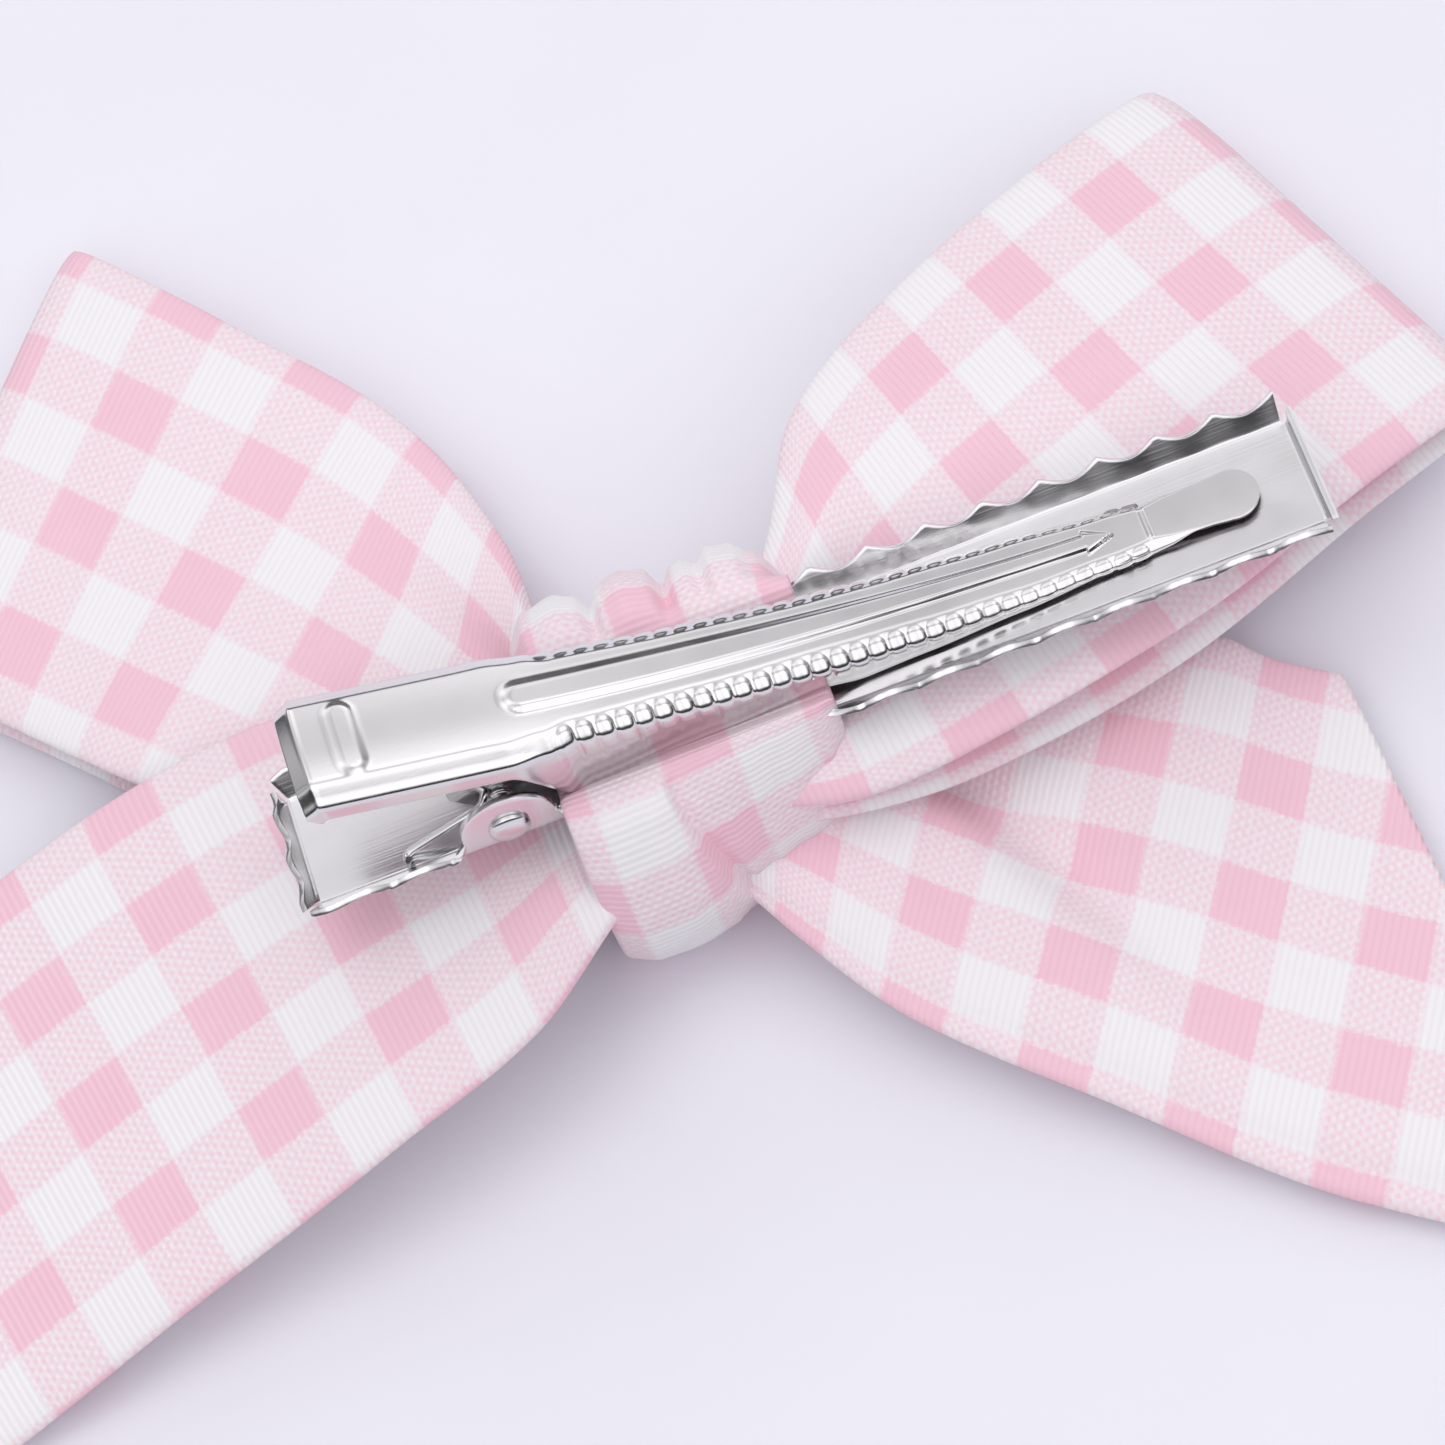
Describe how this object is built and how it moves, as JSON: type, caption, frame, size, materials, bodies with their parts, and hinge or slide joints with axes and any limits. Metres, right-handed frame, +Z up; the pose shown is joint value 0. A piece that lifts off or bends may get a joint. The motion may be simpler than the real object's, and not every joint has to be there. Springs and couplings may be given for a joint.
{
  "type": "alligator hair clip",
  "caption": "Sprung alligator hair clip of plated steel with a gingham fabric bow tied round its lower jaw",
  "frame": {"origin": "middle of the whole clip and bow, on the surface that the bow lies on", "axes": "+X from the squeezed tails towards the tip of the jaws, +Z up out of the back of the clip, +Y away from the side with the visible rivet head"},
  "size_m": [0.1353, 0.1208, 0.0293],
  "materials": {
    "plated_steel": "polished nickel plate on pressed sheet",
    "spring_wire": "bright drawn wire",
    "gingham_knit": "fine ribbed knit, pink and white checks",
    "white_thread": "twisted thread"
  },
  "bodies": {
    "base": {"lower_jaw": "plated_steel", "hinge_pin": "plated_steel", "torsion_spring": "spring_wire", "knot_band": "gingham_knit", "gather_thread": "white_thread", "right_loop": "gingham_knit", "left_tail": "gingham_knit", "left_loop": "gingham_knit", "right_tail": "gingham_knit"},
    "lever": {"upper_lever": "plated_steel"}
  },
  "joints": [
    {"name": "lever_pivot", "type": "hinge", "parent": "base", "child": "lever", "pos_m": [-0.00813, -0.00548, 0.0174], "axis": [0, -1, 0], "range_deg": [0, 33], "stiffness_Nm_per_rad": 0.05, "springref_deg": -57.3, "deforming": ["torsion_spring"]}
  ]
}
